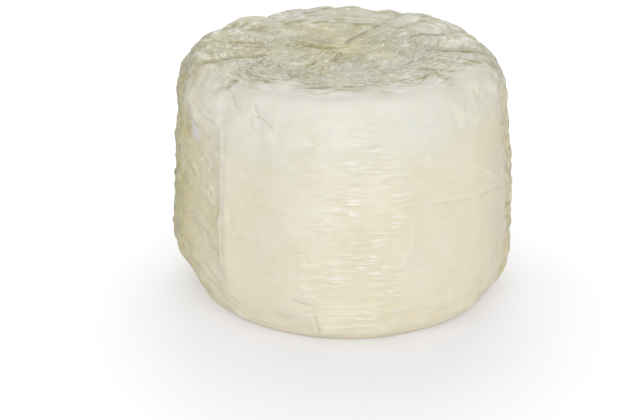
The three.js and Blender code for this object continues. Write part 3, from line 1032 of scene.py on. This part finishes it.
class Shading:
    """Node tree of a material or a world. Most methods add nodes and give the socket of their result."""

    def __init__(self, tree):
        self.tree = tree

    def connect(self, value, socket):
        """Links a socket to an input, or sets the input's own value."""
        if isinstance(value, bpy.types.NodeSocket):
            self.tree.links.new(value, socket)
        else:
            socket.default_value = value

    def node(self, kind, **inputs):
        """Adds a node, with its inputs set by name, and gives the node itself."""
        node = self.tree.nodes.new(kind)
        for name, value in inputs.items():
            self.connect(value, node.inputs[name.replace("_", " ")])
        return node

    def place(self):
        """Object coordinates."""
        return self.tree.nodes.new("ShaderNodeTexCoord").outputs["Object"]

    def attribute(self, name, output="Fac"):
        """A named attribute of the mesh."""
        node = self.tree.nodes.new("ShaderNodeAttribute")
        node.attribute_name = name
        return node.outputs[output]

    def reckon(self, operation, *values, kind="ShaderNodeMath", output="Value"):
        """One step of arithmetic on numbers, or on vectors by another kind of node."""
        node = self.tree.nodes.new(kind)
        node.operation = operation
        for socket, value in zip(node.inputs, values):
            self.connect(value, socket)
        return node.outputs[output]

    def times(self, first, *others):
        """Numbers multiplied together."""
        for other in others:
            first = self.reckon("MULTIPLY", first, other)
        return first

    def spread(self, value, low, high, to_low=0.0, to_high=1.0):
        """A number mapped so that low becomes to_low and high becomes to_high, and held there."""
        limits = {"From_Min": low, "From_Max": high, "To_Min": to_low, "To_Max": to_high}
        node = self.node("ShaderNodeMapRange", Value=value, **limits)
        return node.outputs["Result"]

    def blend(self, share, low, high):
        """Two numbers blended by a share."""
        node = self.tree.nodes.new("ShaderNodeMix")
        for socket, value in zip((node.inputs[0], node.inputs[2], node.inputs[3]), (share, low, high)):
            self.connect(value, socket)
        return node.outputs[0]

    def tint(self, share, base, colour):
        """A colour laid over a base by a share."""
        node = self.tree.nodes.new("ShaderNodeMix")
        node.data_type = "RGBA"
        self.connect(share, node.inputs[0])
        for socket, value in zip((node.inputs[6], node.inputs[7]), (base, colour)):
            self.connect(value if isinstance(value, bpy.types.NodeSocket) else (*value, 1), socket)
        return node.outputs[2]

    def stretched(self, vector, factors):
        """A vector with each part multiplied by its own factor."""
        return self.reckon("MULTIPLY", vector, factors, kind=VECTOR_NODE, output="Vector")

    def noise(self, vector, scale, detail):
        """Noise of a scale in features a metre."""
        return self.node("ShaderNodeTexNoise", Vector=vector, Scale=scale, Detail=detail).outputs["Fac"]

    def jostled(self, vector, scale, amount):
        """A vector moved each way by noise of a scale in features a metre."""
        chance = self.node("ShaderNodeTexNoise", Vector=self.place(), Scale=scale, Detail=2.0)
        steps = (chance.outputs["Color"], (amount, amount, amount), vector)
        return self.reckon("MULTIPLY_ADD", *steps, kind=VECTOR_NODE, output="Vector")

    def cells(self, vector):
        """A pattern of leaf-like cells: a chance tone for each, and the way from its nearest seam."""
        tones = self.node("ShaderNodeTexVoronoi", Vector=vector, Scale=1.0)
        seams = self.node("ShaderNodeTexVoronoi", Vector=vector, Scale=1.0)
        seams.feature = "DISTANCE_TO_EDGE"
        parts = self.node("ShaderNodeSeparateColor", Color=tones.outputs["Color"])
        return parts.outputs["Red"], seams.outputs["Distance"]

    def bar_gaps(self, place):
        """The thin gaps between woven bars: 1 where the phase, shaken by noise, comes to a whole number."""
        phase = self.reckon("MULTIPLY_ADD", self.noise(place, 420, 3), 0.5, self.attribute("bar_phase"))
        away = self.reckon("PINGPONG", phase, 0.5)
        return self.times(self.spread(away, 0.03, 0.15, 1, 0), self.attribute("bar_amount"))

    def drawn_lines(self, place, name, width):
        """Thin cracks or ridges: 1 on the line, 0 at its width in mm, and as strong as it is deep."""
        chance = self.spread(self.noise(place, 500, 2), 0, 1, -1, 1)
        away = self.reckon("MULTIPLY_ADD", chance, width, self.attribute(name + "_way"))
        near = self.spread(self.reckon("ABSOLUTE", away), 0.2 * width, width, 1, 0)
        return self.times(near, self.spread(self.attribute(name + "_depth"), 0.05, 0.6))

    def layered(self, base, layers):
        """A base with layers laid over it in order, each a share, a strength and a colour."""
        for share, strength, colour in layers:
            base = self.tint(self.times(share, strength), base, colour)
        return base

    def bumped(self, bumps):
        """A normal tilted by bumps in order, each a height and the distance that a height of 1 means."""
        normal = None
        for height, distance in bumps:
            bump = self.node("ShaderNodeBump", Height=height, Distance=distance)
            if normal:
                self.connect(normal, bump.inputs["Normal"])
            normal = bump.outputs["Normal"]
        return normal


def base_colour(ink, rind, place, strand):
    """Broad colours: a mottled ivory side, pale above and tan below, under a woven olive-grey top. Painted
    light lifts the front shoulder and the foot's contact, painted shade darkens the left limb, and the
    top's pale spots are partly painted sheen.
    """
    cream = [part * share for part, share in zip(rind.rind_colour, CREAM_SHARE)]
    mottle = ink.spread(ink.noise(place, 34, 3), 0.35, 0.65)
    patch = ink.spread(ink.noise(place, 75, 3), 0.35, 0.65)
    side = ink.layered(ink.tint(mottle, rind.rind_colour, cream), (
        # Pale upper front, partly painted light.
        (ink.attribute("pale"), ink.spread(patch, 0, 1, 0.55, 1), rind.pale_colour),
        # Painted highlight of the front shoulder, with the shoulders' lighter plates.
        (ink.attribute("shoulder_highlight_and_plates"), 0.65, rind.crest_colour),
        (ink.attribute("tan"), ink.spread(mottle, 0, 1, 0.5, 1), rind.tan_colour),
        (ink.attribute("straw"), ink.spread(patch, 0, 1, 0.7, 1), rind.straw_colour),
        # Olive left limb, partly painted shade.
        (ink.attribute("limb"), ink.spread(patch, 0, 1, 0.4, 0.95), rind.olive_colour),
    ))
    folds = ink.noise(ink.stretched(strand, (0.5, 0.5, 0.16)), 1, 4)
    sheets = ink.tint(ink.spread(folds, 0.44, 0.58), rind.crown_colour, rind.sheet_colour)
    woven = ink.layered(sheets, (
        (ink.attribute("olive"), ink.spread(folds, 0.42, 0.58, 1, 0.7), rind.olive_colour),
        # Pale spots, partly painted sheen.
        (ink.attribute("pale_spots"), 0.5, rind.pale_spot_colour),
    ))
    base = ink.tint(ink.times(ink.attribute("crown"), 0.9), side, woven)
    patchy = ink.attribute("patchy")
    return ink.layered(base, [
        (ink.times(ink.spread(ink.noise(place, scale, 3), 0.52, 0.55), patchy), strength, colour)
        for scale, strength, colour in (
            (60, 0.4, rind.crest_colour),
            (105, 0.4, rind.tan_colour),
            (170, 0.45, rind.crest_colour),
            (290, 0.3, rind.dull_colour),
        )
    ])


def top_flakes(ink, rind, strand):
    """Layers of colour for the top's flakes: darker cells of their own tone, painted glints on bright cells
    and painted shade along seams and flap edges; and the height of the flaps that they stand on.
    """
    flake = ink.attribute("flake")
    round_cells = ink.cells(ink.jostled(ink.stretched(strand, (1.2, 1.2, 0.55)), 260, 0.9))
    slant_cells = ink.cells(ink.jostled(ink.attribute("slant_way", "Vector"), 260, 0.9))
    slanted = ink.attribute("slanted")
    tone, seam = [ink.blend(slanted, *pair) for pair in zip(round_cells, slant_cells)]
    flap_seam = ink.cells(ink.jostled(ink.stretched(strand, (0.75, 0.75, 0.26)), 180, 0.8))[1]
    torn = ink.spread(ink.noise(ink.stretched(strand, (0.6, 0.6, 0.12)), 1, 2), 0.44, 0.56)
    # Glints: painted highlights on the bright cells.
    glints = ink.times(ink.spread(tone, 0.66, 0.78), ink.spread(seam, 0.04, 0.14), flake)
    layers = (
        (ink.times(ink.spread(tone, 0.38, 0.15), flake), 0.36, rind.hollow_colour),
        (glints, 0.75, rind.crest_colour),
        # Painted shade along the seams between cells and along the edges of the flaps.
        (ink.times(ink.spread(seam, 0.16, 0.03), flake), 0.52, rind.hollow_colour),
        (ink.times(ink.spread(flap_seam, 0.13, 0.04), torn, flake), 0.3, rind.crack_colour),
    )
    flaps = ink.times(ink.reckon("MULTIPLY_ADD", tone, 0.6, ink.spread(seam, 0, 0.25, 0, 0.6)), flake)
    return layers, flaps


def rind_material(rind):
    """Moist fresh rind: mottled ivory, greyer on top, darker in hollows by painted shade, with painted
    highlights on raised edges and a fine damp grain.
    """
    material = bpy.data.materials.new("moist_rind")
    material.use_nodes = True
    ink = Shading(material.node_tree)
    shader = material.node_tree.nodes["Principled BSDF"]
    place = ink.place()
    strand = ink.attribute("strand", "Vector")
    rough = ink.attribute("rough")
    edge = ink.attribute("edge")
    dash = ink.attribute("dash")

    gaps = ink.bar_gaps(place)
    flake_layers, flaps = top_flakes(ink, rind, strand)
    specks = ink.noise(place, 330, 2)
    flecked = ink.spread(rough, SMOOTH_ROUGHNESS, 1, 0.35, 0.8)
    streaks = ink.noise(ink.stretched(place, (1, 1, 0.45)), 520, 2)
    pits = ink.times(ink.spread(ink.noise(place, 260, 3), 0.47, 0.36), edge)
    threads = ink.noise(strand, 0.9, 2)
    lifted = ink.reckon("MULTIPLY_ADD", ink.attribute("white"), 0.05, threads)
    dull_dashes = ink.times(ink.spread(threads, 0.45, 0.36), dash, 0.4)
    cracks = ink.drawn_lines(place, "crack", 0.5)
    base = ink.layered(base_colour(ink, rind, place, strand), (
        # Painted shade in the relief's hollows and the top's furrows.
        (ink.attribute("hollow_shade"), 0.5, rind.hollow_colour),
        # Painted highlights on the relief's crests.
        (ink.attribute("crest_highlight"), 0.55, rind.crest_colour),
        # Painted shade in the gaps between woven bars.
        (gaps, 0.4, rind.hollow_colour),
        *flake_layers,
        # White flecks: partly white curd grains, partly painted glints.
        (ink.spread(specks, 0.66, 0.72), flecked, rind.crest_colour),
        (ink.times(ink.spread(specks, 0.40, 0.33), ink.attribute("straw")), 0.55, rind.hollow_colour),
        (ink.times(ink.spread(streaks, 0.59, 0.64), edge), 0.75, rind.crest_colour),
        (ink.times(ink.spread(streaks, 0.41, 0.35), edge), 0.65, rind.hollow_colour),
        # Painted shade in the pits, which the bump also sinks.
        (pits, 0.7, rind.hollow_colour),
        # Painted reflection of the sky on wet patches.
        (ink.attribute("gleam"), 0.6, rind.gleam_colour),
        # Painted shade: a faint dulling of the whole dash region, more in the valleys of its threads.
        (ink.reckon("MULTIPLY_ADD", dash, 0.13, dull_dashes), 1.0, rind.dull_colour),
        # Painted highlights on the crests of the threads, more in the whitest spots.
        (ink.times(ink.spread(lifted, 0.585, 0.635), dash), 0.85, rind.crest_colour),
        # Painted highlights along thin raised lines.
        (ink.drawn_lines(place, "ridge", 0.9), 0.75, rind.ridge_colour),
        # Painted shade along thin cracks and the top's furrows.
        (cracks, 0.7, rind.crack_colour),
        (ink.attribute("stain"), 1.0, rind.stain_colour),
    ))
    ink.connect(base, shader.inputs["Base Color"])

    damp = ink.spread(ink.noise(place, 180, 4), 0.35, 0.7, 0.0, 0.28)
    dryness = ink.reckon("ADD", damp, ink.spread(rough, SMOOTH_ROUGHNESS, 1, 0.46, 0.28))
    ink.connect(dryness, shader.inputs["Roughness"])
    shader.inputs["Subsurface Weight"].default_value = 0.15
    shader.inputs["Subsurface Radius"].default_value = (1.0, 0.72, 0.38)
    shader.inputs["Subsurface Scale"].default_value = 1.8 * MM
    shader.inputs["Coat Weight"].default_value = 0.06
    shader.inputs["Coat Roughness"].default_value = 0.12

    off_top = ink.reckon("MULTIPLY_ADD", ink.attribute("crown"), -0.7, rough)
    normal = ink.bumped((
        (gaps, -0.4 * MM),
        (ink.times(ink.noise(place, 520, 3), off_top), 0.4 * MM),
        (cracks, -0.3 * MM),
        (ink.times(threads, dash), 0.5 * MM),
        (flaps, 0.4 * MM),
        (pits, -0.3 * MM),
        (ink.noise(place, 1500, 2), 0.05 * MM),
    ))
    ink.connect(normal, shader.inputs["Normal"])
    return material


class BASKETCHEESE_OT_wheel(bpy.types.Operator):
    """Build the wheel's skin with its basket marks and its moist rind"""

    bl_idname = "basketcheese.wheel"
    bl_label = "Cheese Wheel"

    def execute(self, context):
        rind = context.scene.cheese_rind
        mesh = wheel_mesh(rind)
        mesh.materials.append(rind_material(rind))
        piece = bpy.data.objects.new("cheese_rind", mesh)
        context.scene.collection.objects.link(piece)
        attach(piece, "root")
        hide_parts("cheese")
        return {"FINISHED"}


def camera_share(ink, low, high):
    """Socket that is high in what the camera sees directly and low in the light that is thrown on."""
    seen = ink.tree.nodes.new("ShaderNodeLightPath").outputs["Is Camera Ray"]
    return ink.spread(seen, 0, 1, low, high)


def floor_material(colour):
    """Pale matt floor with a painted glow that only the camera sees, towards white away from the wheel,
    leaving a painted soft shade around it.
    """
    material = bpy.data.materials.new("pale_floor")
    material.use_nodes = True
    ink = Shading(material.node_tree)
    shader = material.node_tree.nodes["Principled BSDF"]
    shader.inputs["Base Color"].default_value = (*colour, 1)
    shader.inputs["Roughness"].default_value = 0.9
    shader.inputs["Specular IOR Level"].default_value = 0.0
    shader.inputs["Emission Color"].default_value = (1, 1, 1, 1)
    away = ink.reckon("DISTANCE", ink.place(), SHADE_MIDDLE, kind=VECTOR_NODE)
    glow = ink.spread(away, SHADE_START, SHADE_END, NEAR_GLOW, FAR_GLOW)
    ink.connect(ink.times(glow, camera_share(ink, 0, 1)), shader.inputs["Emission Strength"])
    return material


def add_softbox(scene, name, power, size, location, pitch, turn):
    """Adds a soft rectangular light that the camera does not see, pitched down and turned, in degrees."""
    light = bpy.data.lights.new(name, "AREA")
    light.shape = "RECTANGLE"
    light.energy = power
    light.size, light.size_y = size
    box = bpy.data.objects.new(name, light)
    box.location = location
    box.rotation_euler = (math.radians(90 - pitch), 0, math.radians(turn))
    box.visible_camera = False
    scene.collection.objects.link(box)


def add_floor(scene, colour):
    """Adds a square floor under the wheel."""
    half = FLOOR_WIDTH / 2
    corners = [(-half, -half, 0), (half, -half, 0), (half, half, 0), (-half, half, 0)]
    mesh = bpy.data.meshes.new("studio_floor")
    mesh.from_pydata(corners, [], [(0, 1, 2, 3)])
    mesh.materials.append(floor_material(colour))
    floor = bpy.data.objects.new("studio_floor", mesh)
    scene.collection.objects.link(floor)


def add_sky(scene, strength):
    """Sets a sky that is white to the camera and gives that strength of light."""
    world = bpy.data.worlds.new("pale_sky")
    world.use_nodes = True
    sky = world.node_tree.nodes["Background"]
    sky.inputs["Color"].default_value = (1, 1, 1, 1)
    ink = Shading(world.node_tree)
    ink.connect(camera_share(ink, strength, 1.0), sky.inputs["Strength"])
    scene.world = world


def add_camera(scene, lens):
    """Adds the camera and makes it the scene's own."""
    camera = bpy.data.objects.new("camera", bpy.data.cameras.new("camera"))
    camera.data.lens = lens
    camera.data.sensor_width = SENSOR_WIDTH
    camera.location = CAMERA_PLACE
    camera.rotation_euler = (math.pi / 2 - CAMERA_PITCH, 0, 0)
    scene.collection.objects.link(camera)
    scene.camera = camera


class BASKETCHEESE_OT_stage(bpy.types.Operator):
    """Lay the floor, set the lights and place the camera"""

    bl_idname = "basketcheese.stage"
    bl_label = "Pale Studio"

    def execute(self, context):
        scene = context.scene
        stage = scene.cheese_stage
        add_floor(scene, stage.floor_colour)
        add_softbox(scene, "front_key", stage.key_power, *KEY_LIGHT)
        add_softbox(scene, "back_light", stage.back_power, *BACK_LIGHT)
        add_sky(scene, stage.sky_strength)
        add_camera(scene, stage.lens)
        scene.view_settings.view_transform = "Standard"
        return {"FINISHED"}


class BASKETCHEESE_PT_panel(bpy.types.Panel):
    """Values and buttons for the wheel and its studio"""

    bl_idname = "BASKETCHEESE_PT_panel"
    bl_label = "Basket Cheese"
    bl_space_type = "VIEW_3D"
    bl_region_type = "UI"
    bl_category = "Basket Cheese"

    def draw(self, context):
        for group, operator in (
            (context.scene.cheese_rind, BASKETCHEESE_OT_wheel),
            (context.scene.cheese_stage, BASKETCHEESE_OT_stage),
        ):
            box = self.layout.box()
            for name in group.__annotations__:
                box.prop(group, name)
            box.operator(operator.bl_idname)


CLASSES = (CheeseRind, CheeseStage, BASKETCHEESE_OT_wheel, BASKETCHEESE_OT_stage, BASKETCHEESE_PT_panel)


def register():
    """Registers the classes and puts the values on the scene."""
    for item in CLASSES:
        bpy.utils.register_class(item)
    bpy.types.Scene.cheese_rind = PointerProperty(type=CheeseRind)
    bpy.types.Scene.cheese_stage = PointerProperty(type=CheeseStage)


def unregister():
    """Takes away what register put in place."""
    del bpy.types.Scene.cheese_stage
    del bpy.types.Scene.cheese_rind
    for item in reversed(CLASSES):
        bpy.utils.unregister_class(item)


def main():
    """Builds the stage and the wheel."""
    register()
    bpy.ops.basketcheese.stage()
    bpy.ops.basketcheese.wheel()


if __name__ == "__main__":
    main()
